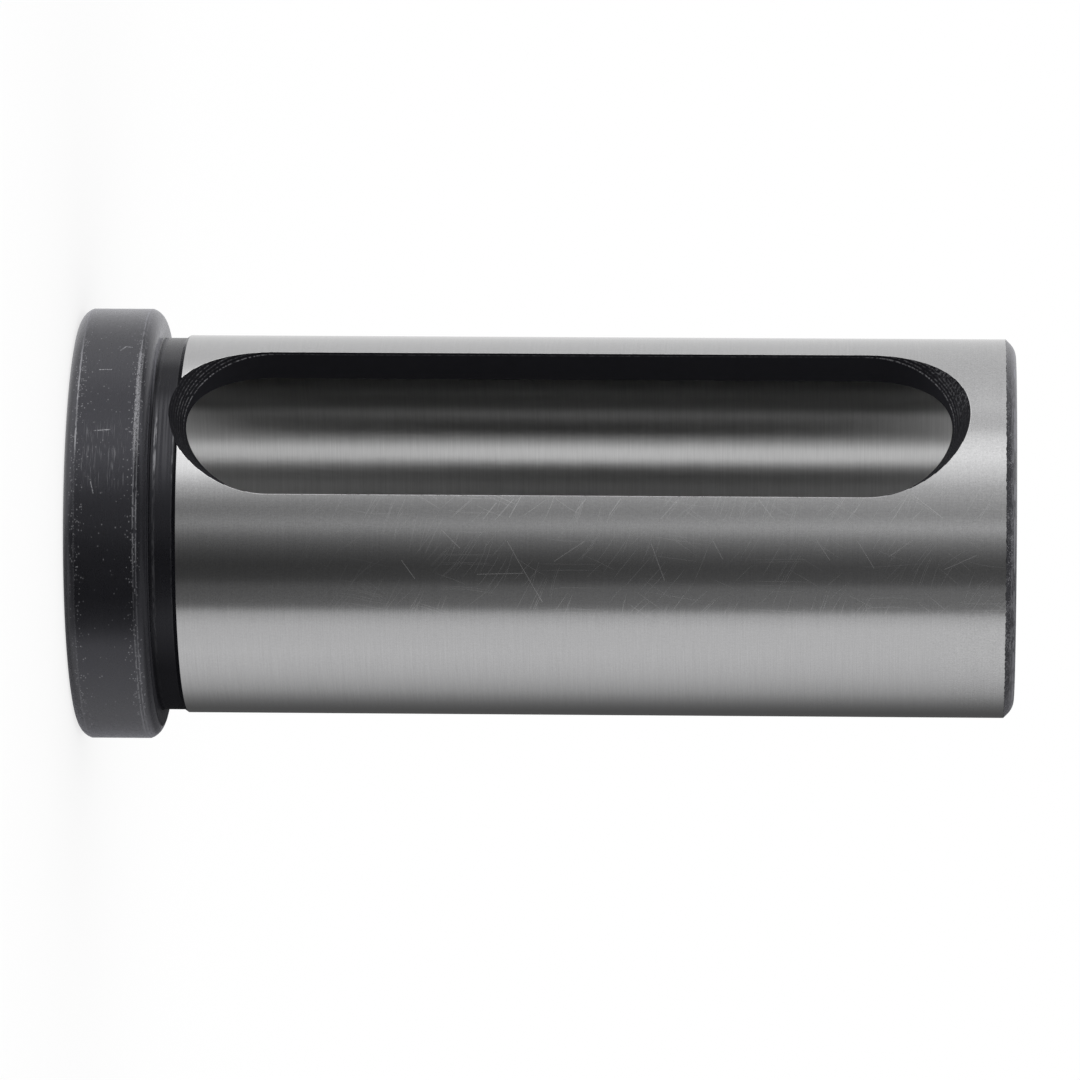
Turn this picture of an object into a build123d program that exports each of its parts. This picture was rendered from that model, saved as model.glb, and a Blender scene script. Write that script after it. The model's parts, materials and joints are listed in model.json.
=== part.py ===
from build123d import *
from math import atan, cos, degrees, radians, sin, sqrt, tan
import os

# Tool holder bushing: a flanged sleeve in one piece, standing on its head.
# The origin is the centre of the head's end face, +Z runs along the bore to the nose,
# and the long slot for the clamp screws faces -Y. Millimetres and degrees.

# Turned sizes
bore_diameter = 38.10           # through bore for the tool shank, 1 1/2 in
wall = 3.175                    # 1/8 in, which makes the ground outside 1 3/4 in
head_overhang = 3.075           # how far the head stands out past the shank, all round
head_thickness = 9.7
shank_length = 100.1            # from the shoulder under the head to the nose end
head_edge_height = 1.38         # rounded chamfer on both edges of the head, along the axis
head_edge_depth = 1.77          # the same chamfer, across the axis
head_edge_bulge = 0.33          # how far that chamfer's curve stands out from a flat chamfer
relief_width = 2.68             # grinding relief between the shoulder and the shank
relief_depth = 0.33
relief_ramp = 0.46              # slope from the relief up to the ground shank
nose_chamfer = 0.53             # 45 degree start of the nose edge
nose_radius = 2.36              # arc that carries it on to the end face
nose_wall_share = 0.75          # most of the wall that the nose edge may take
bore_chamfer = 0.3
bore_wall_share = 0.15          # most of the wall that the bore's chamfer may take
seam_angle = 52.5               # where the turned faces start round the axis, away from the slot

# Slot, milled from the side in passes that get shorter and narrower with depth
slot_width = 20.7               # between its long edges, on the outside of the shank
slot_wall_angle = 33.2          # how far each wall leans out from the slot's centre plane
slot_head_land = 1.7            # from the shoulder to the slot's near end
slot_nose_land = 5.4            # from the slot's far end to the nose end
pass_depth = 0.35               # depth of each stepped pass
pass_count = 8                  # stepped passes before the smooth wall
pass_ledge = 0.1                # flat ledge that each pass leaves at its foot
cutter_overrun = 1.0            # how far each cut runs on into free air

# Sizes that follow
bore_radius = bore_diameter / 2
shank_radius = bore_radius + wall
head_radius = shank_radius + head_overhang
overall_length = head_thickness + shank_length
nose_edge_depth = nose_chamfer + nose_radius * sqrt(0.5)
nose_fit = min(1, nose_wall_share * wall / nose_edge_depth)
chamfer_size = nose_chamfer * nose_fit
arc_radius = nose_radius * nose_fit
bore_edge = min(bore_chamfer, bore_wall_share * wall)
seam_cos = cos(radians(seam_angle))
seam_sin = sin(radians(seam_angle))
section_plane = Plane(origin=(0, 0, 0), x_dir=(seam_cos, seam_sin, 0), z_dir=(seam_sin, -seam_cos, 0))
slot_spread = tan(radians(slot_wall_angle))
pass_spread = max(0, slot_spread - pass_ledge / pass_depth)
pass_angle = degrees(atan(pass_spread))
slot_edge_level = sqrt(shank_radius**2 - (slot_width / 2) ** 2)
slot_floor_level = sqrt(bore_radius**2 - (slot_width / 2) ** 2) - cutter_overrun


def slot_half_width(level):
    """Half the slot's width at a distance from the bore's axis."""
    return slot_width / 2 + slot_spread * (level - slot_edge_level)


slot_end_radius = slot_half_width(shank_radius)
slot_low_centre = head_thickness + slot_head_land + slot_end_radius
slot_high_centre = overall_length - slot_nose_land - slot_end_radius
slot_middle = (slot_low_centre + slot_high_centre) / 2
slot_centre_distance = slot_high_centre - slot_low_centre


def slot_plane(level):
    """Work plane across the slot, with its x direction along the bore."""
    return Plane(origin=(0, -level, slot_middle), x_dir=(0, 0, 1), z_dir=(0, -1, 0))


def head_edge(start, end):
    """Rounded chamfer between two points of the half section."""
    chord = Vector(*end) - Vector(*start)
    outward = Vector(chord.Y, -chord.X).normalized()
    crown = Vector(*start) + chord / 2 + outward * head_edge_bulge
    return ThreePointArc(start, (crown.X, crown.Y), end)


with BuildPart() as bushing:
    # Half section, x out from the axis and y along it
    with BuildSketch(section_plane) as half_section:
        with BuildLine() as outline:
            face_edge = (head_radius - head_edge_depth, 0)
            Line((bore_radius + bore_edge, 0), face_edge)
            head_low = (head_radius, head_edge_height)
            head_edge(face_edge, head_low)
            head_high = (head_radius, head_thickness - head_edge_height)
            Line(head_low, head_high)
            shoulder_edge = (head_radius - head_edge_depth, head_thickness)
            head_edge(head_high, shoulder_edge)
            relief_radius = shank_radius - relief_depth
            relief_end = head_thickness + relief_width
            ground_end = overall_length - chamfer_size - arc_radius * (1 - sqrt(0.5))
            nose_turn = (shank_radius - chamfer_size, ground_end + chamfer_size)
            Polyline(
                shoulder_edge,
                (relief_radius, head_thickness),
                (relief_radius, relief_end),
                (shank_radius, relief_end + relief_ramp),
                (shank_radius, ground_end),
                nose_turn,
            )
            nose_edge = (nose_turn[0] - arc_radius * sqrt(0.5), overall_length)
            TangentArc(nose_turn, nose_edge, tangent=(-1, 1))
            Polyline(
                nose_edge,
                (bore_radius + bore_edge, overall_length),
                (bore_radius, overall_length - bore_edge),
                (bore_radius, bore_edge),
                (bore_radius + bore_edge, 0),
            )
        make_face()
    revolve(axis=Axis.Z)

    # Stepped passes: each floor stands one ledge wider than the wall that goes on below it
    for step in range(1, pass_count + 1):
        floor_level = shank_radius - step * pass_depth
        pass_half_width = slot_half_width(floor_level) + pass_ledge
        with BuildSketch(slot_plane(floor_level)) as pass_outline:
            SlotCenterToCenter(slot_centre_distance, 2 * pass_half_width)
        extrude(amount=step * pass_depth + cutter_overrun, taper=-pass_angle, mode=Mode.SUBTRACT)

    # Smooth leaning wall from the last step through to the bore
    smooth_depth = shank_radius - pass_count * pass_depth - slot_floor_level
    with BuildSketch(slot_plane(slot_floor_level)) as floor_outline:
        SlotCenterToCenter(slot_centre_distance, 2 * slot_half_width(slot_floor_level))
    extrude(amount=smooth_depth, taper=-slot_wall_angle, mode=Mode.SUBTRACT)

bushing.part.label = "bushing"

os.makedirs("parts", exist_ok=True)
export_step(bushing.part, "parts/bushing.step")
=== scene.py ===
import json
from functools import partial, reduce
from math import atan, atan2, ceil, cos, hypot, pi, radians, sin, sqrt, tan

import bpy
import numpy as np
from mathutils import Matrix, Vector


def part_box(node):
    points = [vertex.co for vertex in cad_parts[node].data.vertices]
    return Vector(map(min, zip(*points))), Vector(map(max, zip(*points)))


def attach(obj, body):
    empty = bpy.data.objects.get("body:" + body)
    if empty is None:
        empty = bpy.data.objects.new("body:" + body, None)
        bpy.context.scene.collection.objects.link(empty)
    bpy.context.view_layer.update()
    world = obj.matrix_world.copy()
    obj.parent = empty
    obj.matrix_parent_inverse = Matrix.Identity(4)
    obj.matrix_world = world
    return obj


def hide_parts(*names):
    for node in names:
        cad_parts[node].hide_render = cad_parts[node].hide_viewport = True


# Tool holder bushing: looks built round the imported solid. Sizes are in millimetres until
# a mesh is made, and the frame is the part's own: head end face at z = 0, bore along +Z, slot on -Y.
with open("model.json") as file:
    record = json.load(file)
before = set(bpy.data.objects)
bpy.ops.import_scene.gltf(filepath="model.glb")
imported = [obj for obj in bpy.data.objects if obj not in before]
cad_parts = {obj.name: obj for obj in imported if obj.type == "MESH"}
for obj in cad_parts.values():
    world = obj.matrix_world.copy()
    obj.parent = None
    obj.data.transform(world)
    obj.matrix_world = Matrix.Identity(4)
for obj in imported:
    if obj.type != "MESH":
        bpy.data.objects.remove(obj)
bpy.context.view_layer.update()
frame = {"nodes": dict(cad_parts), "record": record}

MM = 0.001
mounts = {mount["name"]: mount for mount in frame["record"]["mounts"]}

# Turned sizes, the first five read from the frame
bore_radius = mounts["bore"]["dims"]["r_mm"]
shank_radius = mounts["shank"]["dims"]["r_mm"]
head_thickness = mounts["shoulder"]["pos_m"][2] / MM
head_radius = max(hypot(v.co.x, v.co.y) for v in frame["nodes"]["bushing"].data.vertices) / MM
overall_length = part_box("bushing")[1].z / MM
head_edge_height = 1.38
head_edge_depth = 1.77
head_edge_bulge = 0.33
relief_width = 2.68
relief_depth = 0.33
relief_ramp = 0.46
nose_chamfer = 0.53
nose_radius = 2.36
bore_edge = 0.3
fine_edge = 0.06                # radius of the edges that a cutter left nearly sharp
worn_edge = 0.14                # radius of the edges that handling has rubbed

# Slot sizes
slot_width = 20.7
slot_wall_angle = 33.2
slot_head_land = 1.7
slot_nose_land = 5.4
pass_depth = 0.35
pass_count = 8
pass_ledge = 0.05
cutter_overrun = 1.0

# Mesh fineness
turned_segments = 480
span_step = 6.0
slot_arc_steps = 72
curve_step = radians(9)
arc_steps = 6
corner_room = 0.45              # largest share of a span that a rounded corner takes up
near_zero = 1e-9

# Sizes that follow
relief_radius = shank_radius - relief_depth
relief_end = head_thickness + relief_width
ramp_end = relief_end + relief_ramp
nose_rise = nose_radius * sqrt(0.5)
ground_end = overall_length - nose_chamfer - nose_radius * (1 - sqrt(0.5))
slot_spread = tan(radians(slot_wall_angle))
pass_spread = slot_spread - pass_ledge / pass_depth
slot_edge_level = sqrt(shank_radius**2 - (slot_width / 2) ** 2)
slot_floor_level = sqrt(bore_radius**2 - (slot_width / 2) ** 2) - cutter_overrun


def slot_half_width(level):
    """Half the slot's width at a distance from the bore's axis."""
    return slot_width / 2 + slot_spread * (level - slot_edge_level)


slot_end_radius = slot_half_width(shank_radius)
slot_low_centre = head_thickness + slot_head_land + slot_end_radius
slot_high_centre = overall_length - slot_nose_land - slot_end_radius

# Camera of the photograph, fitted to the object's outline
photo_turn = 36.75              # degrees from the slot's middle to the side that faces the camera
camera_distance = 992.45        # from the bore's axis
camera_height = 96.43
camera_side = -1.669
camera_yaw = 2.447
camera_roll = 0.36
camera_lens = 281.32
camera_sensor = 36
camera_reach = 20               # metres
photo_side = radians(photo_turn - 90)


# Turned mesh


def bulged(start, end, bulge):
    """Points of an arc between two outline points, standing out to the right by bulge."""
    (r0, z0), (r1, z1) = start, end
    chord = hypot(r1 - r0, z1 - z0)
    radius = (chord**2 / 4 + bulge**2) / (2 * bulge)
    out_r, out_z = (z1 - z0) / chord, -(r1 - r0) / chord
    centre_r = (r0 + r1) / 2 - out_r * (radius - bulge)
    centre_z = (z0 + z1) / 2 - out_z * (radius - bulge)
    first = atan2(z0 - centre_z, r0 - centre_r)
    last = atan2(z1 - centre_z, r1 - centre_r)
    angles = [first + (last - first) * i / arc_steps for i in range(1, arc_steps)]
    return [(centre_r + radius * cos(a), centre_z + radius * sin(a), 0) for a in angles]


def half_section():
    """Corners of the turned section as (radius, height, edge radius), anticlockwise."""
    face_edge = (head_radius - head_edge_depth, 0)
    head_low = (head_radius, head_edge_height)
    head_high = (head_radius, head_thickness - head_edge_height)
    shoulder_edge = (head_radius - head_edge_depth, head_thickness)
    turn = (shank_radius - nose_chamfer, ground_end + nose_chamfer)
    nose_centre = (turn[0] - nose_rise, turn[1] - nose_rise)
    nose_angles = [pi / 4 + pi / 4 * i / arc_steps for i in range(1, arc_steps)]
    nose_arc = [(nose_centre[0] + nose_radius * cos(a), nose_centre[1] + nose_radius * sin(a), 0)
                for a in nose_angles]
    return [
        (bore_radius + bore_edge, 0, fine_edge),
        (*face_edge, worn_edge),
        *bulged(face_edge, head_low, head_edge_bulge),
        (*head_low, worn_edge),
        (*head_high, worn_edge),
        *bulged(head_high, shoulder_edge, head_edge_bulge),
        (*shoulder_edge, fine_edge),
        (relief_radius, head_thickness, worn_edge),
        (relief_radius, relief_end, worn_edge),
        (shank_radius, ramp_end, fine_edge),
        (shank_radius, ground_end, fine_edge),
        (*turn, 0),
        *nose_arc,
        (turn[0] - nose_rise, overall_length, 0),
        (bore_radius + bore_edge, overall_length, fine_edge),
        (bore_radius, overall_length - bore_edge, fine_edge),
        (bore_radius, bore_edge, fine_edge),
    ]


def softened(corners):
    """Outline points and normals, with each corner rounded to its own radius and long spans divided."""
    corner_points = [np.array(corner[:2]) for corner in corners]
    points = []
    normals = []
    for i, (point, corner) in enumerate(zip(corner_points, corners)):
        before = point - corner_points[i - 1]
        after = corner_points[(i + 1) % len(corners)] - point
        room = corner_room * min(np.linalg.norm(before), np.linalg.norm(after))
        before = before / np.linalg.norm(before)
        after = after / np.linalg.norm(after)
        turn = atan2(before[0] * after[1] - before[1] * after[0], before @ after)
        setback = min(corner[2] * tan(abs(turn) / 2), room)
        radius = setback / tan(abs(turn) / 2)
        side = 1 if turn > 0 else -1
        centre = point - before * setback + side * radius * np.array((-before[1], before[0]))
        steps = max(2, ceil(abs(turn) / curve_step)) if corner[2] else 0
        for step in range(steps + 1):
            angle = turn * step / steps if steps else turn / 2
            along = np.array((before[0] * cos(angle) - before[1] * sin(angle),
                              before[0] * sin(angle) + before[1] * cos(angle)))
            outward = np.array((along[1], -along[0]))
            spot = centre + side * radius * outward if steps else point
            points.append(spot)
            normals.append(outward)
    full_points = []
    full_normals = []
    for i, (point, normal) in enumerate(zip(points, normals)):
        following = points[(i + 1) % len(points)]
        next_normal = normals[(i + 1) % len(points)]
        parts = max(1, ceil(np.linalg.norm(following - point) / span_step))
        for part in range(parts):
            share = part / parts
            full_points.append(point * (1 - share) + following * share)
            full_normals.append(normal * (1 - share) + next_normal * share)
    return np.array(full_points), np.array(full_normals)


def mesh_object(name, vertices, faces, materials, finishes):
    """A mesh object from millimetre points, with the index of each face's material."""
    mesh = bpy.data.meshes.new(name)
    mesh.from_pydata([tuple(v) for v in np.asarray(vertices) * MM], [], faces)
    for material in materials:
        mesh.materials.append(material)
    mesh.polygons.foreach_set("material_index", finishes)
    obj = bpy.data.objects.new(name, mesh)
    bpy.context.scene.collection.objects.link(obj)
    return obj


def turned_blank(points, finishes, materials):
    """The outline turned round the bore's axis as one closed skin."""
    angles = np.arange(turned_segments) * 2 * pi / turned_segments
    rings = [np.column_stack((r * np.cos(angles), r * np.sin(angles), np.full(turned_segments, z)))
             for r, z in points]
    faces = []
    face_finishes = []
    for i in range(len(points)):
        low = i * turned_segments
        high = (i + 1) % len(points) * turned_segments
        for j in range(turned_segments):
            k = (j + 1) % turned_segments
            faces.append((low + j, low + k, high + k, high + j))
        face_finishes += [finishes[i]] * turned_segments
    return mesh_object("bushing_steel", np.vstack(rings), faces, materials, face_finishes)


# Slot cutter


def stadium(half_width):
    """Points round the slot's long outline at a half width, as x and z."""
    arc = np.linspace(0, pi, slot_arc_steps + 1)
    upper = np.column_stack((half_width * np.cos(arc), slot_high_centre + half_width * np.sin(arc)))
    lower = np.column_stack((-half_width * np.cos(arc), slot_low_centre - half_width * np.sin(arc)))
    return np.vstack((upper, lower))


def slot_cutter(materials):
    """Stepped passes and the leaning wall, as one closed body to take away."""
    mouth = slot_half_width(shank_radius) + pass_spread * cutter_overrun
    outline = [(mouth, shank_radius + cutter_overrun)]
    for step in range(1, pass_count + 1):
        floor_level = shank_radius - step * pass_depth
        outline.append((slot_half_width(floor_level) + pass_ledge, floor_level))
        outline.append((slot_half_width(floor_level), floor_level))
    outline.append((slot_half_width(slot_floor_level), slot_floor_level))
    rings = []
    for half_width, level in outline:
        ring = stadium(half_width)
        rings.append(np.column_stack((ring[:, 0], np.full(len(ring), -level), ring[:, 1])))
    count = len(rings[0])
    faces = []
    for i in range(len(rings) - 1):
        for j in range(count):
            k = (j + 1) % count
            faces.append((i * count + k, i * count + j, (i + 1) * count + j, (i + 1) * count + k))
    faces.append(tuple(range(count)))
    faces.append(tuple(range((len(rings) - 1) * count, len(rings) * count))[::-1])
    return mesh_object("slot_cutter", np.vstack(rings), faces, materials, [milled_finish] * len(faces))


def cut(blank, cutter):
    """Takes the cutter away from the blank and keeps the result as the blank's own mesh."""
    modifier = blank.modifiers.new("slot", "BOOLEAN")
    modifier.operation = "DIFFERENCE"
    modifier.solver = "EXACT"
    modifier.object = cutter
    evaluated = blank.evaluated_get(bpy.context.evaluated_depsgraph_get())
    mesh = bpy.data.meshes.new_from_object(evaluated)
    blank.modifiers.clear()
    blank.data = mesh
    bpy.data.objects.remove(cutter)
    return blank


# True normals, so that reflections run smoothly over the facets

clearly_nearer = 1e-7           # millimetres by which a later part of the outline must be nearer
flat_steepness = 0.9            # a skin facing this squarely along the slot's depth is a ledge


def turned_normals(spots, points, normals):
    """Normals of the turned skin at spots, from the nearest part of the outline."""
    radius = np.hypot(spots[:, 0], spots[:, 1])
    flat = np.column_stack((radius, spots[:, 2]))
    spans = np.roll(points, -1, axis=0) - points
    next_normals = np.roll(normals, -1, axis=0)
    best = np.full(len(flat), np.inf)
    found = np.zeros((len(flat), 2))
    for start, span, first, second in zip(points, spans, normals, next_normals):
        share = np.clip(((flat - start) @ span) / (span @ span), 0, 1)
        gap = np.linalg.norm(flat - start - share[:, None] * span, axis=1)
        nearer = gap < best - clearly_nearer
        best = np.where(nearer, gap, best)
        here = first * (1 - share[:, None]) + second * share[:, None]
        found = np.where(nearer[:, None], here, found)
    outward = spots[:, :2] / np.maximum(radius, near_zero)[:, None]
    return np.column_stack((found[:, :1] * outward, found[:, 1]))


def milled_normals(spots, face_normals):
    """Normals of the slot's skin: flat on its steps, and true to its outline on its walls."""
    spine = np.clip(spots[:, 2], slot_low_centre, slot_high_centre)
    away = np.column_stack((spots[:, 0], np.zeros(len(spots)), spots[:, 2] - spine))
    away = away / np.maximum(np.linalg.norm(away, axis=1), near_zero)[:, None]
    steep = np.abs(face_normals[:, 1])[:, None]
    between = sin((atan(pass_spread) + atan(slot_spread)) / 2)
    pass_wall = -away + np.array((0, -pass_spread, 0))
    smooth_wall = -away + np.array((0, -slot_spread, 0))
    ledge = np.tile(np.array((0.0, -1.0, 0.0)), (len(spots), 1))
    return np.where(steep > flat_steepness, ledge, np.where(steep > between, smooth_wall, pass_wall))


def set_true_normals(obj, points, normals):
    """Writes the normals of the modelled surfaces into the mesh."""
    mesh = obj.data
    corner_count = len(mesh.loops)
    spots = np.zeros(len(mesh.vertices) * 3)
    mesh.vertices.foreach_get("co", spots)
    spots = spots.reshape(-1, 3) / MM
    corner_vertices = np.zeros(corner_count, int)
    mesh.loops.foreach_get("vertex_index", corner_vertices)
    face_sizes = np.zeros(len(mesh.polygons), int)
    mesh.polygons.foreach_get("loop_total", face_sizes)
    face_materials = np.zeros(len(mesh.polygons), int)
    mesh.polygons.foreach_get("material_index", face_materials)
    face_normals = np.zeros(len(mesh.polygons) * 3)
    mesh.polygons.foreach_get("normal", face_normals)
    face_of_corner = np.repeat(np.arange(len(mesh.polygons)), face_sizes)
    corner_spots = spots[corner_vertices]
    milled = face_materials[face_of_corner] == milled_finish
    result = turned_normals(corner_spots, points, normals)
    corner_faces = face_normals.reshape(-1, 3)[face_of_corner]
    result[milled] = milled_normals(corner_spots[milled], corner_faces[milled])
    result = result / np.maximum(np.linalg.norm(result, axis=1), near_zero)[:, None]
    mesh.polygons.foreach_set("use_smooth", [True] * len(mesh.polygons))
    mesh.normals_split_custom_set(result.tolist())


# Material nodes


class Graph:
    """Short names for building a node tree."""

    def __init__(self, tree):
        self.tree = tree
        self.tree.nodes.clear()

    def node(self, kind, inputs=None, **settings):
        made = self.tree.nodes.new(kind)
        for key, value in settings.items():
            setattr(made, key, value)
        for key, value in (inputs or {}).items():
            self.feed(made.inputs[key], value)
        return made

    def feed(self, socket, value):
        if isinstance(value, bpy.types.NodeSocket):
            self.tree.links.new(value, socket)
        else:
            socket.default_value = value

    def math(self, operation, *values):
        made = self.node("ShaderNodeMath", operation=operation)
        for socket, value in zip(made.inputs, values):
            self.feed(socket, value)
        return made.outputs[0]

    def times(self, *values):
        return reduce(partial(self.math, "MULTIPLY"), values)

    def plus(self, *values):
        return reduce(partial(self.math, "ADD"), values)

    def minus(self, first, second):
        return self.math("SUBTRACT", first, second)

    def most(self, *values):
        return reduce(partial(self.math, "MAXIMUM"), values)

    def line(self, value, slope, start):
        """start, and slope more for each 1 of value."""
        return self.math("MULTIPLY_ADD", value, slope, start)

    def swing(self, value, amount):
        """A value from 0 to 1 made to swing about 0, half the amount each way."""
        return self.times(self.minus(value, 0.5), amount)

    def mix(self, share, first, second):
        """first at 0, second at 1, for plain numbers."""
        made = self.node("ShaderNodeMix", {0: share, 2: first, 3: second})
        return made.outputs[0]

    def blend(self, share, first, second):
        """first at 0, second at 1, for colours."""
        made = self.node("ShaderNodeMix", data_type="RGBA")
        for key, value in ((0, share), (6, first), (7, second)):
            self.feed(made.inputs[key], value)
        return made.outputs[2]

    def step(self, value, low, high):
        """0 below low, 1 above high and smooth between; falls instead where high is below low."""
        made = self.node("ShaderNodeMapRange", {0: value, 1: low, 2: high}, interpolation_type="SMOOTHSTEP")
        return made.outputs[0]

    def fade(self, value, start, end, left):
        """1 up to start, left past end and smooth between; end may lie below start."""
        return self.mix(self.step(value, start, end), 1.0, left)

    def between(self, value, low, low_full, high_full, high):
        """1 between the two middle values, falling to 0 at the outer ones."""
        return self.times(self.step(value, low, low_full), self.step(value, high, high_full))

    def near(self, value, centre, reach, fade):
        """1 within reach of centre, falling to 0 over fade."""
        away = self.math("ABSOLUTE", self.minus(value, centre))
        return self.step(away, reach + fade, reach)

    def vector(self, x, y, z):
        return self.node("ShaderNodeCombineXYZ", {0: x, 1: y, 2: z}).outputs[0]

    def vector_math(self, operation, inputs, output=0):
        return self.node("ShaderNodeVectorMath", inputs, operation=operation).outputs[output]

    def scaled(self, vector, factors):
        return self.vector_math("MULTIPLY", {0: vector, 1: factors})

    def noise(self, vector, detail=2.0, roughness=0.5):
        made = self.node("ShaderNodeTexNoise", {"Vector": vector, "Scale": 1.0, "Detail": detail,
                                                "Roughness": roughness})
        return made.outputs["Fac"]

    def cells(self, vector, dimensions="3D"):
        """The distance to the middle of a scattered cell, and a random number of that cell."""
        made = self.node("ShaderNodeTexVoronoi", {"Vector": vector, "Scale": 1.0},
                         voronoi_dimensions=dimensions).outputs
        return made["Distance"], self.node("ShaderNodeSeparateXYZ", {0: made["Color"]}).outputs[0]

    def surface(self, shader):
        self.node("ShaderNodeOutputMaterial", {"Surface": shader.outputs[0]})


def new_material(name):
    material = bpy.data.materials.new(name)
    material.use_nodes = True
    return material, Graph(material.node_tree)


class Place:
    """Where a shaded point lies: millimetres, and the way round from the middle of the slot."""

    def __init__(self, g):
        self.g = g
        position = g.node("ShaderNodeTexCoord").outputs["Object"]
        self.point = g.scaled(position, (1 / MM, 1 / MM, 1 / MM))
        self.x, self.y, self.z = g.node("ShaderNodeSeparateXYZ", {0: self.point}).outputs
        self.radius = g.math("SQRT", g.plus(g.times(self.x, self.x), g.times(self.y, self.y)))
        angle = g.math("ARCTAN2", self.x, g.times(self.y, -1))
        self.turn = g.math("DEGREES", angle)
        self.around = g.times(angle, shank_radius)
        self.unrolled = g.vector(self.z, self.around, 0)

    def noise(self, across, along=None, detail=2.0, roughness=0.5):
        """Noise with so many swells to the millimetre across the bore's axis, and along it."""
        fineness = (across, across, across if along is None else along)
        return self.g.noise(self.g.scaled(self.point, fineness), detail, roughness)


# A scratch's outer and full width, as shares of its half width, and what scattered scratches have in common
scratch_rim, scratch_core = 1.6, 0.5
field_bend = 3.0                # millimetres that they stray sideways
field_bend_fineness = 0.1
field_line = (0.34, 0.22)       # where in its cell a scratch begins and is full
field_fading = 0.8              # the faintest fifth of them fades


def scratch(g, place, start_z, start_turn, end_z, end_turn, half_width):
    """1 along a straight scratch between two spots of the unrolled skin."""
    start = Vector((start_z, radians(start_turn) * shank_radius, 0))
    span = Vector((end_z, radians(end_turn) * shank_radius, 0)) - start
    gap = g.vector_math("SUBTRACT", {0: place.unrolled, 1: start})
    share = g.vector_math("DOT_PRODUCT", {0: gap, 1: span / span.length_squared}, "Value")
    share = g.math("MINIMUM", g.most(share, 0), 1)
    foot = g.vector_math("SCALE", {0: span, "Scale": share})
    away = g.vector_math("DISTANCE", {0: gap, 1: foot}, "Value")
    return g.step(away, half_width * scratch_rim, half_width * scratch_core)


def scratch_field(g, place, angle, length, spacing, share, seed):
    """1 on thin scratches of one direction, scattered at random over a share of their places."""
    across = radians(angle)
    bend = g.times(place.noise(field_bend_fineness, detail=0), field_bend / spacing)
    along_way = g.plus(g.times(place.z, cos(across) / length),
                       g.times(place.around, sin(across) / length), seed)
    side_way = g.plus(g.times(place.z, -sin(across) / spacing),
                      g.times(place.around, cos(across) / spacing), bend)
    distance, pick = g.cells(g.vector(along_way, side_way, 0), "2D")
    return g.times(g.step(distance, *field_line), g.step(pick, 1 - share, 1 - share * field_fading))


def past_straight(g, place):
    """How far a spot lies past the slot's straight length; below 0 beside it."""
    middle = (slot_low_centre + slot_high_centre) / 2
    straight = (slot_high_centre - slot_low_centre) / 2
    return g.minus(g.math("ABSOLUTE", g.minus(place.z, middle)), straight)


# Black oxide and the steel under it
oxide_coat = (0.0042, 0.0042, 0.0056, 1)
pale_coat = (0.00672, 0.00672, 0.00896, 1)
bare_steel = (0.40, 0.40, 0.42, 1)
oxide_tint = (0.90, 0.90, 1.0, 1)
coat_shade_fineness = 1.2
haze_roughness = 0.4
rubbed_roughness = 0.45         # of steel that is rubbed or scratched


def worn_steel(g, place, worn, painted_shade, coat_roughness, gloss, haze, normal=None):
    """Black oxide that shows bare steel where worn is 1, and gives way to a dark matte coat as painted shade
    where the shade mask is 1.
    """
    shade = place.noise(coat_shade_fineness, detail=3)
    inputs = {
        "Base Color": g.blend(worn, g.blend(shade, oxide_coat, pale_coat), bare_steel), "Metallic": worn,
        "Roughness": g.mix(worn, coat_roughness, rubbed_roughness), "IOR": gloss, "Specular Tint": oxide_tint,
        "Sheen Weight": haze, "Sheen Roughness": haze_roughness, "Sheen Tint": oxide_tint}
    if normal is not None:
        inputs["Normal"] = normal
    shiny = g.node("ShaderNodeBsdfPrincipled", inputs)
    # A dark matte coat, mixed in as painted shade
    painted_shade_coat = g.node("ShaderNodeBsdfDiffuse", {"Color": oxide_coat})
    g.surface(g.node("ShaderNodeMixShader", {0: painted_shade, 1: shiny.outputs[0], 2: painted_shade_coat.outputs[0]}))


lines_across = 0.05             # turning lines run round the axis with hardly a change
quarter_turn = 0.25             # points the spread of light along the axis


def round_axis(g):
    """The direction round the bore's axis."""
    return g.node("ShaderNodeTangent", direction_type="RADIAL", axis="Z").outputs[0]


def steel_shader(g, colour, roughness, spread, normal):
    """Bare steel whose fine turning lines spread light along the bore's axis."""
    return g.node("ShaderNodeBsdfPrincipled", {
        "Base Color": colour, "Metallic": 1.0, "Roughness": roughness, "Anisotropic": spread,
        "Anisotropic Rotation": quarter_turn, "Tangent": round_axis(g), "Normal": normal})


def turned_ripple(g, place, fineness, amount):
    """Normal that leans a little round the axis, by a different amount on each turning line."""
    lean = g.swing(place.noise(lines_across, fineness), amount)
    plain = g.node("ShaderNodeNewGeometry").outputs["Normal"]
    return g.vector_math("MULTIPLY_ADD", {0: round_axis(g), 1: g.vector(lean, lean, lean), 2: plain})


# Ground shank. Four values are for between, turns are degrees from the slot's middle, and pairs of amounts
# are for plain and for coarse steel.
ground_tone = 0.47
ground_blue = 1.01
ground_roughness = 0.165
ground_spread = 0.5
ground_ripple = (7.0, 0.02)     # turning lines to the millimetre, and how far they lean
grain_swing = 0.10
sand_swing = (0.06, 0.17)
cross_swing = (0.04, 0.10)
cross_fineness = (0.9, 9.0, 0)  # along the axis and round it
coarse_nose = (98.0, 105.0)     # heights between which the steel grows coarse
worked_coarseness = 0.7
worked_turns = (20.0, 26.0, 58.0, 70.0)
mark_lift = 0.22
burr_lift = 0.38
# A brighter patch beside the slot near the head end, a painted highlight: its share of the tone, heights and
# turns
shank_highlight_lift = 1.2
shank_highlight_heights = (26.0, 15.0)
shank_highlight_turns = (8.0, 13.0, 21.0, 27.0)
margin_start = (ground_end + 0.12, ground_end + 0.17)
margin_raggedness = 0.35
margin_roughness = 0.35
margin_gloss = 1.46

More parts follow.
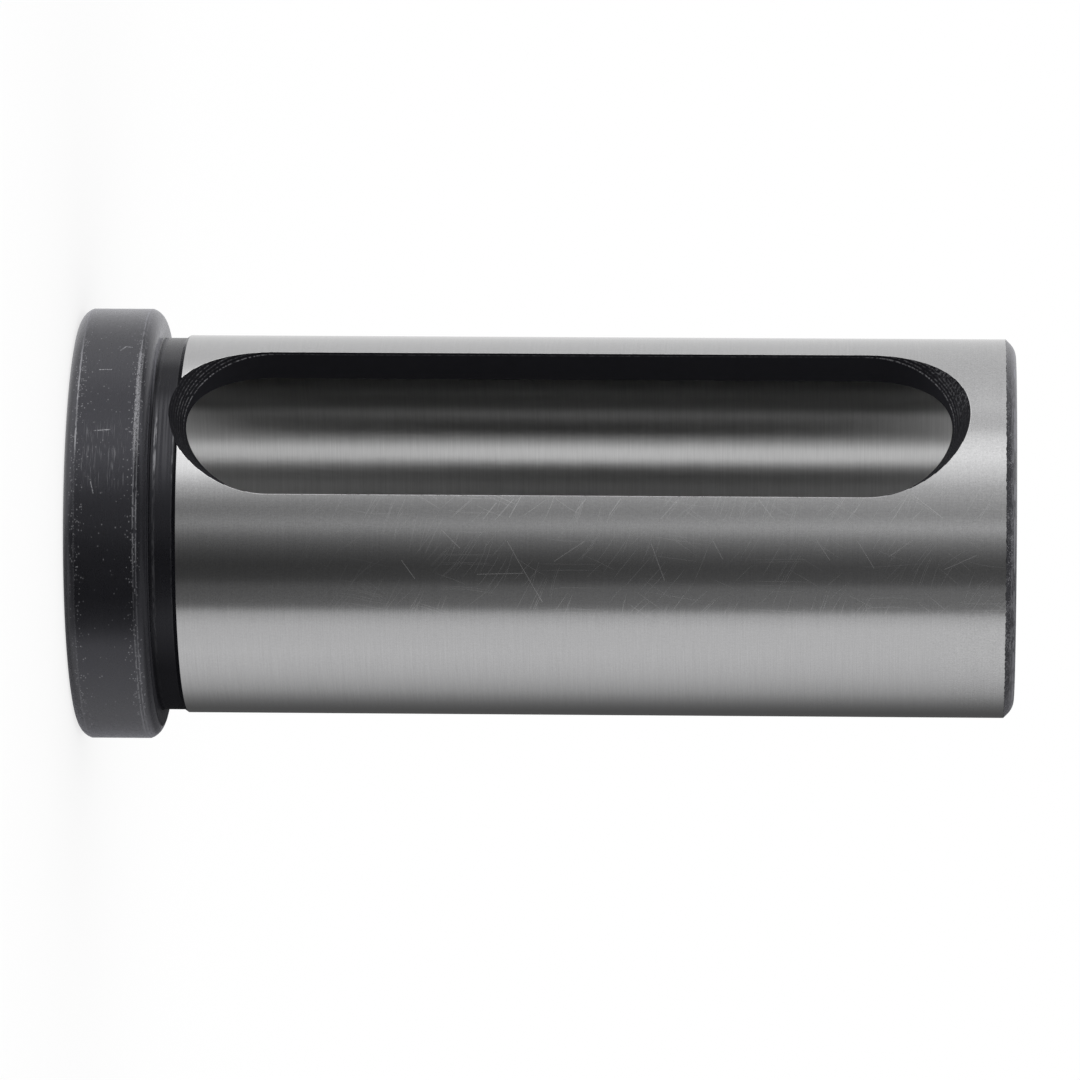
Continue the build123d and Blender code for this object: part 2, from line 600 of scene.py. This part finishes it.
# Longer scratches: height and degrees round at each end
shank_scratches = [
    (49.9, 30.1, 48.4, 35.0), (51.9, 28.9, 49.8, 35.1), (52.7, 28.4, 51.4, 34.4),
    (60.2, 28.8, 59.0, 32.8), (64.2, 28.7, 62.9, 33.6), (70.9, 28.6, 68.9, 34.4),
    (43.6, 38.2, 45.7, 43.6), (51.2, 41.5, 55.2, 60.0), (60.1, 41.3, 56.6, 47.4),
    (47.7, 51.5, 53.0, 51.1), (39.0, 47.4, 40.5, 52.9), (67.8, 42.1, 69.3, 53.0),
    (80.1, 28.7, 82.0, 35.0), (91.7, 30.0, 90.0, 35.6), (97.4, 26.4, 95.3, 35.2),
    (97.7, 26.7, 101.2, 33.7), (74.9, 41.1, 76.0, 46.4), (86.7, 40.2, 88.3, 46.5),
    (91.5, 40.8, 93.4, 48.9), (97.8, 40.4, 95.1, 45.4), (101.5, 49.1, 105.2, 44.8),
]
shank_scratch_width = 0.038
shank_scratch_depth = 0.72
# Scattered scratches: direction in degrees, length, spacing, share of their places that are filled, and seed
scratch_fields = [
    (-59, 9, 0.13, 0.075, 3), (31, 7, 0.13, 0.050, 11), (-70, 8, 0.13, 0.055, 23), (-45, 6, 0.12, 0.055, 41),
    (3, 12, 0.11, 0.075, 31),
]
field_depth = 0.42
field_heights = (18.0, 50.0)

# Burr beside the slot
burr_width = (0.20, -0.02)      # slope and start over its noise
burr_edge = (0.05, -0.02)
burr_breaks = (0.36, 0.46)
burr_fade = (slot_high_centre, slot_high_centre + 4, 0.25)


def slot_burr(g, place):
    """1 on the broken burr just outside the slot's edge."""
    over = g.most(past_straight(g, place), 0)
    reach = g.math("SQRT", g.plus(g.times(place.x, place.x), g.times(over, over)))
    edge = g.line(g.times(place.y, -1), slot_spread, slot_width / 2 - slot_spread * slot_edge_level)
    broken = place.noise(1.3, detail=3, roughness=0.7)
    slot_side = g.step(place.y, 0, -1)
    beside_edge = g.step(g.minus(g.minus(reach, edge), g.line(broken, *burr_width)), *burr_edge)
    return g.times(slot_side, beside_edge, g.step(broken, *burr_breaks), g.fade(place.z, *burr_fade))


def ground_material():
    """Ground steel of the shank, with its grain, its scratches, the burr round the slot, and a patch of
    painted highlight near the head end.
    """
    material, g = new_material("ground_steel")
    place = Place(g)
    worked = g.between(place.turn, *worked_turns)
    marks = g.most(*(scratch(g, place, *ends, shank_scratch_width) for ends in shank_scratches))
    fields = g.most(*(scratch_field(g, place, *field) for field in scratch_fields))
    marks = g.most(g.times(marks, shank_scratch_depth),
                   g.times(fields, field_depth, worked, g.step(place.z, *field_heights)))
    burr = slot_burr(g, place)

    coarse = g.most(g.step(place.z, *coarse_nose), g.times(worked, worked_coarseness))
    grain = place.noise(0.15, 11.0, detail=3, roughness=0.6)
    sand = place.noise(5.0, detail=1)
    cross_grain = g.noise(g.scaled(place.unrolled, cross_fineness))
    # Painted highlight beside the slot near the head end
    shank_painted_highlight = g.times(g.step(place.z, *shank_highlight_heights), g.between(place.turn, *shank_highlight_turns))
    tone = g.plus(g.swing(grain, grain_swing), g.swing(sand, g.mix(coarse, *sand_swing)),
                  g.swing(cross_grain, g.mix(coarse, *cross_swing)), ground_tone,
                  g.times(marks, mark_lift), g.times(burr, burr_lift))
    tone = g.times(tone, g.mix(shank_painted_highlight, 1.0, shank_highlight_lift))
    roughness = g.mix(g.most(marks, burr), ground_roughness, rubbed_roughness)
    steel = steel_shader(g, g.vector(tone, tone, g.times(tone, ground_blue)), roughness, ground_spread,
                         turned_ripple(g, place, *ground_ripple))

    # Black margin of the nose edge, uneven where it meets the ground steel
    ragged = g.times(place.noise(2.5, detail=3), margin_raggedness)
    margin = g.step(g.plus(place.z, ragged), *margin_start)
    coat = g.node("ShaderNodeBsdfPrincipled", {"Base Color": oxide_coat, "Roughness": margin_roughness,
                                               "IOR": margin_gloss})
    g.surface(g.node("ShaderNodeMixShader", {0: margin, 1: steel.outputs[0], 2: coat.outputs[0]}))
    return material


# Bore
bore_tone = 0.41
bore_grain = 0.20
bore_roughness = 0.28
bore_spread = 1.0
bore_ripple = (4.5, 0.018)
# Painted shade where the tone is lowered and painted reflection where it is raised: turn, reach and fade in
# degrees, and the share of the tone there
bore_painted_light_stretches = [
    (97.0, 8.0, 8.0, 0.45), (-86.0, 8.0, 6.0, 0.54), (-117.0, 2.0, 5.5, 1.4), (121.0, 15.0, 6.0, 1.4),
]


def bore_material():
    """Honed steel of the bore, with stretches of painted shade and painted reflection in its tone."""
    material, g = new_material("honed_steel")
    place = Place(g)
    tone = g.line(place.noise(0.12, 5.0, detail=3, roughness=0.7), bore_grain, bore_tone)
    # Stretches of painted shade and painted reflection
    for turn, reach, fade, share in bore_painted_light_stretches:
        tone = g.times(tone, g.mix(g.near(place.turn, turn, reach, fade), 1.0, share))
    g.surface(steel_shader(g, g.vector(tone, tone, tone), bore_roughness, bore_spread,
                           turned_ripple(g, place, *bore_ripple)))
    return material


# Head, relief and nose edge. A place is a middle, its reach and its fade, in millimetres or in degrees
# round. Breaks are the values of a noise between which a mark opens. A fade is where it starts, where it
# ends and what is left there.
high_edge = head_thickness - head_edge_height
nose_middle = (ground_end + overall_length) / 2
rim_start = (head_radius - 0.5, head_radius - 0.3)
relief_top = (shank_radius + 0.5, shank_radius + 0.2)
relief_nose_end = (ramp_end + 0.3, ramp_end)
coat_roughness_range = (0.24, 0.31)
oxide_ripple = (4.0, 0.04)
oxide_bump = 0.35
oxide_bump_height = 0.03
fine_share = 0.6                # of the finest noise in the bump

# Lines along the rim's low and high edges
low_line_place = (head_edge_height + 0.04, 0.05, 0.07)
low_line_waves = 0.14
low_line_breaks = (0.20, 0.42)
low_line_fades = [(13.0, 28.0, 0.25), (-6.0, -26.0, 0.4)]
low_line_thin_turns = (14.0, 22.0)
low_line_thin_breaks = (0.42, 0.58)
low_line_wear = 0.75
inner_line_place = (high_edge - 0.12, 0.05, 0.06)
outer_line_place = (high_edge + 0.23, 0.04, 0.06)
outer_line_fade = (12.0, -2.0, 0.3)
high_line_breaks = (0.36, 0.52)
high_line_fade = (34.0, 56.0, 0.5)
high_line_wear = 0.55
section_fineness = 0.28
section_row = 3.7               # the row of the noise that is read
section_breaks = (0.38, 0.58)
faint_section = 0.5

# A rubbed stretch, specks, fine dashes and scuffs
rubbed_place = (high_edge - 0.02, 0.22, 0.14)
rubbed_turns = (-15.2, -14.2, 10.0, 24.0)
rubbed_breaks = (0.40, 0.60)
rubbed_wear = 0.85
speck_cells = (3.6, 3.6, 4.6)   # to the millimetre
speck_edge = (0.42, 0.20)
speck_places = [(head_edge_height + 0.1, 0.05, 1.2), (high_edge - 0.15, 0.1, 1.1)]
speck_crowding = (0.9, 0.1)     # slope and start over the closeness to an edge
speck_patches = (0.38, 0.60)
speck_patch_shares = (0.2, 0.85)
speck_fade = (30.0, 60.0, 0.6)
speck_choice = (0.0, 0.04)
speck_wear = 0.5
hatch_turns = (6.0, 13.0, 24.0, 30.0)
hatch_heights = (1.6, 2.4, 7.0, 7.9)
hatch_breaks = (0.60, 0.72)
hatch_wear = 0.35
scuff_width = 0.05
scuff_breaks = (0.35, 0.6)
head_scuffs = [                 # height and degrees round at each end
    (5.8, -15.6, 6.4, -17.4), (6.4, -17.4, 7.1, -17.0), (3.6, -7.8, 5.0, -7.9), (3.5, 11.9, 5.3, 11.6),
    (3.3, 26.0, 3.6, 29.0),
]

# Bright rings of the relief, bare steel worn faintly all round and brighter over a stretch of turns as a
# painted highlight, and its turning lines
shoulder_ring_place = (head_thickness + 0.55, 0.10, 0.10)
shoulder_ring_wear_and_highlight = 0.75
ramp_ring_place = (relief_end - 0.06, 0.03, 0.08)
ramp_ring_wear_and_highlight = 0.35
ring_breaks = (0.35, 0.60)
ring_highlight_turns = (-2.0, 6.0, 18.0, 26.0)
ring_share_beside_highlight = 0.15
cut_fineness = 3.5
cut_breaks = (0.42, 0.60)
cut_turns = (-14.0, 0.0, 12.0, 30.0)
cut_wear = 0.12

# Nose edge
nose_start = (ground_end, ground_end + 0.02)
nose_speck_breaks = (0.75, 0.84)
nose_speck_patches = 0.35
nose_speck_fade = (overall_length - 0.10, overall_length - 0.02, 0.2)
end_line_place = (overall_length - 0.28, 0.03, 0.08)
end_line_breaks = (0.60, 0.75)
end_line_share = 0.3
nose_mark_wear = 0.6
nose_band_place = (nose_middle + 0.2, 0.22, 0.12)
nose_band_breaks = (0.40, 0.70)
nose_band_wear = (0.28, 0.03)   # slope and start over its breaks

# Painted shade on the rim, the shoulder's face, the bevel and the relief, where the coat's shine gives way to
# dark matte
rim_painted_shade_place = (60.5, 3.0, 9.0)
rim_painted_shade = 0.45
face_painted_shade_place = (head_thickness, 0.10, 0.05)
face_painted_shade_turns = (-22.0, 5.0)
face_painted_shade_edge = (head_radius - 1.3, head_radius - 1.5)
face_painted_shade = 0.85
# Two parts of the bevel's painted shade: heights between which each grows, and its place
bevel_painted_shade_parts = [((high_edge + 0.15, high_edge + 0.35), (47.0, 12.0, 24.0)),
                    ((high_edge + 0.55, high_edge + 0.95), (85.0, 30.0, 20.0))]
bevel_painted_shade_edge = (shank_radius + 0.6, shank_radius + 0.9)
bevel_painted_shade = 0.5
relief_painted_shade_place = (-13.0, 4.0, 9.0)
relief_painted_shade = 0.42
back_painted_shade_turns = (50.0, 90.0)
back_painted_shade = (0.80, 0.08)        # slope and start over those turns


def edge_lines(g, place, fine):
    """Bare lines along the two edges of the head's rim, broken and uneven."""
    sections = g.vector(g.times(place.around, section_fineness), section_row, 0)
    sections = g.noise(sections, detail=3, roughness=0.6)
    bright_sections = g.mix(g.step(sections, *section_breaks), faint_section, 1.0)
    breaks = place.noise(1.6, 5.0)
    wavy = g.line(place.noise(1.1), low_line_waves, place.z)
    low_line = g.times(
        g.near(wavy, *low_line_place), g.step(breaks, *low_line_breaks), bright_sections,
        *(g.fade(place.turn, *stretch) for stretch in low_line_fades),
        g.mix(g.step(place.turn, *low_line_thin_turns), 1.0, g.step(fine, *low_line_thin_breaks)))
    outer_line = g.times(g.near(place.z, *outer_line_place), g.fade(place.turn, *outer_line_fade))
    high_line = g.times(g.most(g.near(place.z, *inner_line_place), outer_line), bright_sections,
                        g.step(breaks, *high_line_breaks), g.fade(place.turn, *high_line_fade))
    return g.most(g.times(low_line, low_line_wear), g.times(high_line, high_line_wear))


def rim_specks(g, place, patches, outside):
    """Bare specks of the head's rim, crowded along its two edges."""
    closeness = g.most(*(g.near(place.z, *edge) for edge in speck_places))
    crowding = g.times(g.line(closeness, *speck_crowding), g.fade(place.turn, *speck_fade),
                       g.mix(g.step(patches, *speck_patches), *speck_patch_shares))
    distance, pick = g.cells(g.scaled(place.point, speck_cells))
    filled = g.step(g.minus(crowding, pick), *speck_choice)
    return g.times(g.step(distance, *speck_edge), filled, outside, speck_wear)


def head_wear(g, place, fine, patches, outside):
    """How bare the head is: its edge lines, a rubbed stretch, specks, fine dashes and scuffs."""
    rubbed = g.times(g.near(place.z, *rubbed_place), g.between(place.turn, *rubbed_turns),
                     g.step(fine, *rubbed_breaks), rubbed_wear)
    dashes = place.noise(0.45, 14.0, detail=1)
    hatch = g.times(g.between(place.turn, *hatch_turns), g.between(place.z, *hatch_heights),
                    g.step(dashes, *hatch_breaks), hatch_wear)
    scuffs = [g.times(scratch(g, place, *ends, scuff_width), g.step(fine, *scuff_breaks))
              for ends in head_scuffs]
    return g.most(edge_lines(g, place, fine), rubbed, rim_specks(g, place, patches, outside), hatch, *scuffs)


def relief_rings(g, place, lines):
    """A bright ring beside the shoulder and another at the top of the relief's ramp: faint bare steel all
    round, and a painted highlight over a stretch of turns.
    """
    rings = g.most(g.times(g.near(place.z, *shoulder_ring_place), shoulder_ring_wear_and_highlight),
                   g.times(g.near(place.z, *ramp_ring_place), ramp_ring_wear_and_highlight))
    # The stretch of turns where the rings are bright is a painted highlight
    stretch = g.between(place.turn, *ring_highlight_turns)
    return g.times(rings, g.step(lines, *ring_breaks), g.mix(stretch, ring_share_beside_highlight, 1.0))


def relief_cuts(g, place, in_relief):
    """Fine turning lines of the relief."""
    return g.times(g.step(place.noise(lines_across, cut_fineness), *cut_breaks), in_relief, cut_wear,
                   g.between(place.turn, *cut_turns))


def nose_wear(g, place, fine, patches, lines):
    """How bare the nose edge is: specks, a line where it meets the end face, and a band round its middle."""
    speck_noise = g.line(patches, nose_speck_patches, fine)
    specks = g.times(g.step(place.z, *nose_start), g.step(speck_noise, *nose_speck_breaks),
                     g.fade(place.z, *nose_speck_fade))
    line_noise = g.line(lines, end_line_share, patches)
    end_line = g.times(g.near(place.z, *end_line_place), g.step(line_noise, *end_line_breaks))
    band = g.times(g.near(place.z, *nose_band_place),
                   g.line(g.step(lines, *nose_band_breaks), *nose_band_wear))
    return g.most(band, g.times(g.most(specks, end_line), nose_mark_wear))


def oxide_painted_shade(g, place, outside, in_relief):
    """Painted shade, where the coat's shine gives way to dark matte: a stretch of the rim, the shoulder's
    face, the bevel, and the relief.
    """
    rim = g.times(outside, g.near(place.turn, *rim_painted_shade_place), rim_painted_shade)
    face = g.times(g.near(place.z, *face_painted_shade_place), g.step(place.turn, *face_painted_shade_turns),
                   g.step(place.radius, *face_painted_shade_edge), face_painted_shade)
    bevel = g.most(*(g.times(g.step(place.z, *heights), g.near(place.turn, *stretch))
                     for heights, stretch in bevel_painted_shade_parts))
    bevel = g.times(bevel, g.step(place.radius, *bevel_painted_shade_edge), bevel_painted_shade)
    relief = g.plus(g.times(g.near(place.turn, *relief_painted_shade_place), relief_painted_shade),
                    g.line(g.step(place.turn, *back_painted_shade_turns), *back_painted_shade))
    return g.most(rim, bevel, face, g.times(relief, in_relief))


def oxide_material(name, gloss, haze):
    """Black oxide of the head, the relief and the nose edge, rubbed bright along its edges, with painted
    shade on parts of the rim, the shoulder's face, the bevel and the relief, and a painted highlight on the
    relief's rings.
    """
    material, g = new_material(name)
    place = Place(g)
    fine = place.noise(7.5, 8.0, roughness=0.7)
    patches = place.noise(0.55, 0.9)
    lines = place.noise(0.9, 9.0)
    outside = g.step(place.radius, *rim_start)
    in_relief = g.times(g.step(place.radius, *relief_top), g.step(place.z, *relief_nose_end))
    worn = g.most(head_wear(g, place, fine, patches, outside), relief_rings(g, place, lines))
    worn = g.most(g.plus(worn, relief_cuts(g, place, in_relief)), nose_wear(g, place, fine, patches, lines))
    bump = g.node("ShaderNodeBump", {
        "Strength": oxide_bump, "Distance": oxide_bump_height * MM, "Height": g.line(fine, fine_share, lines),
        "Normal": turned_ripple(g, place, *oxide_ripple)})
    # The last mask is painted shade: dark matte on the rim, the bevel, the shoulder's face and the relief
    worn_steel(g, place, worn, oxide_painted_shade(g, place, outside, in_relief),
               g.mix(patches, *coat_roughness_range), gloss, haze, bump.outputs[0])
    return material


# Slot walls
milled_roughness = 0.6
milled_gloss = 1.3
milled_haze = 0.03
last_pass = pass_count * pass_depth
ridge_half_widths = (0.06, 0.10)  # at the head end and at the nose end
ridge_widening = (slot_high_centre, slot_high_centre + 3)
ridge_core = 0.02
ridge_end = (last_pass + 0.08, last_pass + 0.02)
ridge_breaks = (0.40, 0.66)
last_ridge_place = (last_pass, 0.10, 0.05)
last_ridge_wear = 0.45
inner_depths = (1.2, 1.5)
ridge_wear = (0.25, 0.12)       # slope and start over those depths
round_end = (-2.0, 3.0)         # millimetres past the slot's straight length
ridge_shares = (0.10, 0.7)      # beside the straight length and on the round ends
wall_speck_depths = (2.1, 1.7)
wall_speck_start = (slot_high_centre, slot_high_centre + 4)
wall_speck_breaks = (0.48, 0.70)
wall_speck_wear = 0.30
# Ridges fade towards +x, on the slot's lower wall, as painted shade
low_wall_painted_shade_fade = (-3.5, 1.5, 0.2)


def milled_material():
    """Black oxide of the slot's walls, rubbed along the ridges that the passes left, with the ridges faded on
    the lower wall as painted shade.
    """
    material, g = new_material("milled_oxide")
    place = Place(g)
    fine = place.noise(3.5, detail=3, roughness=0.6)
    depth = g.plus(place.y, shank_radius)
    passes = g.times(depth, 1 / pass_depth)
    off_ridge = g.times(g.math("ABSOLUTE", g.minus(passes, g.math("ROUND", passes))), pass_depth)
    half_width = g.mix(g.step(place.z, *ridge_widening), *ridge_half_widths)
    strength = g.plus(g.times(g.near(depth, *last_ridge_place), last_ridge_wear),
                      g.line(g.step(depth, *inner_depths), *ridge_wear))
    ridges = g.times(g.step(off_ridge, half_width, ridge_core), g.step(depth, *ridge_end),
                     g.step(fine, *ridge_breaks), strength,
                     g.mix(g.step(past_straight(g, place), *round_end), *ridge_shares))
    specks = g.times(g.step(depth, *wall_speck_depths), g.step(place.z, *wall_speck_start),
                     g.step(fine, *wall_speck_breaks), wall_speck_wear)
    # Fewer rubbed ridges on the lower wall: painted shade
    worn = g.times(g.most(ridges, specks), g.fade(place.x, *low_wall_painted_shade_fade))
    worn_steel(g, place, worn, 0.0, milled_roughness, milled_gloss, milled_haze)
    return material


# Bushing

turned_finish, ground_finish, bore_finish, milled_finish, recessed_finish = range(5)
outline_slack = 0.01
honed_share = 0.7               # of the bore's edge chamfers
clear_of_bore = 1.0


def finish_of(start, end):
    """Which finish a stretch of the turned outline has."""
    inmost, outmost = sorted((start[0], end[0]))
    height = (start[1] + end[1]) / 2
    if outmost < bore_radius + honed_share * bore_edge and 0 < height < overall_length:
        return bore_finish
    if inmost > shank_radius - outline_slack and ramp_end - outline_slack < height < ground_end:
        return ground_finish
    if inmost > bore_radius + clear_of_bore and head_thickness + outline_slack < height < overall_length:
        return recessed_finish
    return turned_finish


head_shine = (1.58, 0.36)       # gloss, as an index of refraction, and haze
# A less shiny copy of the oxide: painted shade in the relief, and the nose edge's finish as well
recess_shaded_shine = (1.50, 0.14)

materials = [oxide_material("black_oxide", *head_shine), ground_material(), bore_material(),
             milled_material(), oxide_material("recessed_oxide", *recess_shaded_shine)]
outline_points, outline_normals = softened(half_section())
outline_finishes = [finish_of(start, end)
                    for start, end in zip(outline_points, np.roll(outline_points, -1, axis=0))]
bushing = cut(turned_blank(outline_points, outline_finishes, materials), slot_cutter(materials))
set_true_normals(bushing, outline_points, outline_normals)
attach(bushing, "root")
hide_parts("bushing")

# Studio: white all round, a pale floor, and a wall of light that only polished surfaces reflect. The wall's
# sizes are in metres.

studio_radius = 1.5
studio_reach = 20.0
studio_sides = 120
studio_peak = 1.9
studio_rise_step = 0.1
studio_rise_reach = 0.12        # beyond this height the light grows no more
# Degrees round the object from the camera, towards the photograph's top, the light from there,
# and the share of it that is added for each step further up
studio_light = [
    (-180, 0.36, 0), (-172, 0.09, 0), (-160, 0.10, 0), (-152, 0.115, 0), (-144, 0.155, 0), (-136, 0.23, 0),
    (-128, 0.355, 0), (-120, 0.52, 0), (-112, 0.64, 0), (-104, 0.75, 0), (-96, 0.82, 0), (-84, 0.89, 0),
    (-64, 0.86, 0.06), (-55, 0.67, 0.10), (-51, 0.22, 0.2), (-37, 0.19, 0.36), (-34, 0.10, 0.36),
    (-24, 0.08, 0.36), (-16, 0.13, 0.36), (-8, 0.25, 0.36), (0, 0.54, 0.3), (8, 0.36, 0.3), (16, 0.49, 0.2),
    (24, 0.80, -0.05), (34, 1.46, -0.15), (44, 1.82, -0.12), (54, 1.42, 0), (64, 0.80, 0), (72, 0.84, 0),
    (80, 0.94, 0), (120, 0.86, 0), (180, 0.86, 0),
]
# Degrees as above, then the light of the overhead panels well past either end, and the light beside the head
panel_light = [
    (16, 0.49, 0.49), (24, 0.40, 0.80), (34, 0.25, 1.15), (44, 0.20, 1.15), (51, 0.22, 1.25),
    (55.5, 0.66, 1.3), (59, 1.35, 1.35), (66, 1.35, 1.3), (74, 1.35, 1.25), (83, 1.35, 1.5),
    (89, 0.5, 1.65), (104, 0.25, 1.35), (112, 0.2, 1.0), (122, 0.86, 0.86),
]
# Heights between which each panel's light begins
panel_above = (0.23, 0.25)
panel_below = (-0.27, -0.29)
head_light_top = (-0.07, -0.10)
panel_side_fade = 0.002         # of a full turn


def light_ramp(g, turn, stops):
    """Two values that follow the way round the object, as read from a list of stops."""
    ramp = g.node("ShaderNodeValToRGB", {0: turn})
    elements = ramp.color_ramp.elements
    elements.remove(elements[1])
    places = sorted((0.5 - angle / 360, first, second) for angle, first, second in stops)
    elements[0].position = places[0][0]
    for position, first, second in places[1:]:
        elements.new(position)
    for element, (position, first, second) in zip(elements, places):
        element.color = (first / studio_peak, 0.5 + second / 2 / studio_peak, 0, 1)
    first, second = g.node("ShaderNodeSeparateXYZ", {0: ramp.outputs[0]}).outputs[:2]
    return g.times(first, studio_peak), g.swing(second, 2 * studio_peak)


def studio_wall():
    """A tall ring of soft light round the object, seen by reflections alone."""
    angles = np.arange(studio_sides) * 2 * pi / studio_sides
    ring = np.column_stack((np.cos(angles), np.sin(angles))) * studio_radius / MM
    low, high = (np.column_stack((ring, np.full(studio_sides, end / MM)))
                 for end in (-studio_reach, studio_reach))
    pairs = [(i, (i + 1) % studio_sides) for i in range(studio_sides)]
    faces = [(i, j, j + studio_sides, i + studio_sides) for i, j in pairs]
    material, g = new_material("studio_light")
    place = g.node("ShaderNodeTexCoord").outputs["Object"]
    turn = g.node("ShaderNodeTexGradient", {0: place}, gradient_type="RADIAL").outputs["Fac"]
    height = g.node("ShaderNodeSeparateXYZ", {0: place}).outputs[2]
    light, rise = light_ramp(g, turn, studio_light)
    height_near = g.math("MINIMUM", g.most(height, -studio_rise_reach), studio_rise_reach)
    light = g.times(light, g.line(rise, g.times(height_near, 1 / studio_rise_step), 1))
    end_light, head_light = light_ramp(g, turn, panel_light)
    past_head = g.step(height, *panel_below)
    past_ends = g.most(g.step(height, *panel_above), past_head)
    panel = g.mix(past_ends, head_light, g.most(end_light, g.times(head_light, past_head)))
    first = 0.5 - panel_light[-1][0] / 360
    last = 0.5 - panel_light[0][0] / 360
    on_panel = g.times(g.near(turn, (first + last) / 2, (last - first) / 2, panel_side_fade),
                       g.most(past_ends, g.step(height, *head_light_top)))
    strength = g.mix(on_panel, light, panel)
    g.surface(g.node("ShaderNodeEmission", {"Color": (1, 1, 1, 1), "Strength": strength}))
    wall = mesh_object("studio_wall", np.vstack((low, high)), faces, [material], [0] * studio_sides)
    wall.rotation_euler.z = photo_side
    wall.visible_camera = False
    wall.visible_diffuse = False
    wall.visible_shadow = False
    return wall


# The floor as the camera and reflections see it is a grey that glows; other light meets a plain pale floor
floor_half_size = 4000          # millimetres
floor_pale = (0.8, 0.8, 0.8, 1)
floor_shade = (0.25, 0.25, 0.25, 1)
floor_glow = 0.75


def pale_floor():
    """White floor that keeps the object's soft shadow."""
    material, g = new_material("pale_floor")
    path = g.node("ShaderNodeLightPath").outputs
    seen = g.most(path["Is Camera Ray"], path["Is Glossy Ray"], path["Is Transmission Ray"])
    pale = g.node("ShaderNodeBsdfDiffuse", {"Color": floor_pale})
    shade = g.node("ShaderNodeBsdfDiffuse", {"Color": floor_shade})
    white = g.node("ShaderNodeEmission", {"Color": (1, 1, 1, 1), "Strength": floor_glow})
    lit = g.node("ShaderNodeAddShader", {0: shade.outputs[0], 1: white.outputs[0]})
    g.surface(g.node("ShaderNodeMixShader", {0: seen, 1: pale.outputs[0], 2: lit.outputs[0]}))
    corners = [(x * floor_half_size, y * floor_half_size, 0) for x, y in ((-1, -1), (1, -1), (1, 1), (-1, 1))]
    floor = mesh_object("pale_floor", corners, [(0, 1, 2, 3)], [material], [0])
    floor.visible_glossy = False
    return floor


def white_world():
    """Even white light from all round."""
    world = bpy.data.worlds.new("white_room")
    world.use_nodes = True
    g = Graph(world.node_tree)
    background = g.node("ShaderNodeBackground", {"Color": (1, 1, 1, 1), "Strength": 1.0})
    g.node("ShaderNodeOutputWorld", {"Surface": background.outputs[0]})
    bpy.context.scene.world = world


white_world()
floor = pale_floor()
wall = studio_wall()


def photo_camera():
    """The photograph's camera: level with the object, turned so that the bore runs across the picture."""
    toward = Vector((cos(photo_side), sin(photo_side), 0))
    along = Vector((0, 0, 1))
    upward = toward.cross(along)
    yaw = radians(camera_yaw)
    roll = radians(camera_roll)
    back = toward * cos(yaw) + along * sin(yaw)
    level_right = along * cos(yaw) - toward * sin(yaw)
    right = level_right * cos(roll) + upward * sin(roll)
    up = upward * cos(roll) - level_right * sin(roll)
    data = bpy.data.cameras.new("photo_camera")
    data.lens = camera_lens
    data.sensor_width = camera_sensor
    data.clip_end = camera_reach
    camera = bpy.data.objects.new("photo_camera", data)
    bpy.context.scene.collection.objects.link(camera)
    place = (toward * camera_distance + along * camera_height + upward * camera_side) * MM
    camera.matrix_world = Matrix.Translation(place) @ Matrix((right, up, back)).transposed().to_4x4()
    bpy.context.scene.camera = camera


photo_camera()
bpy.context.scene.view_settings.view_transform = "Standard"
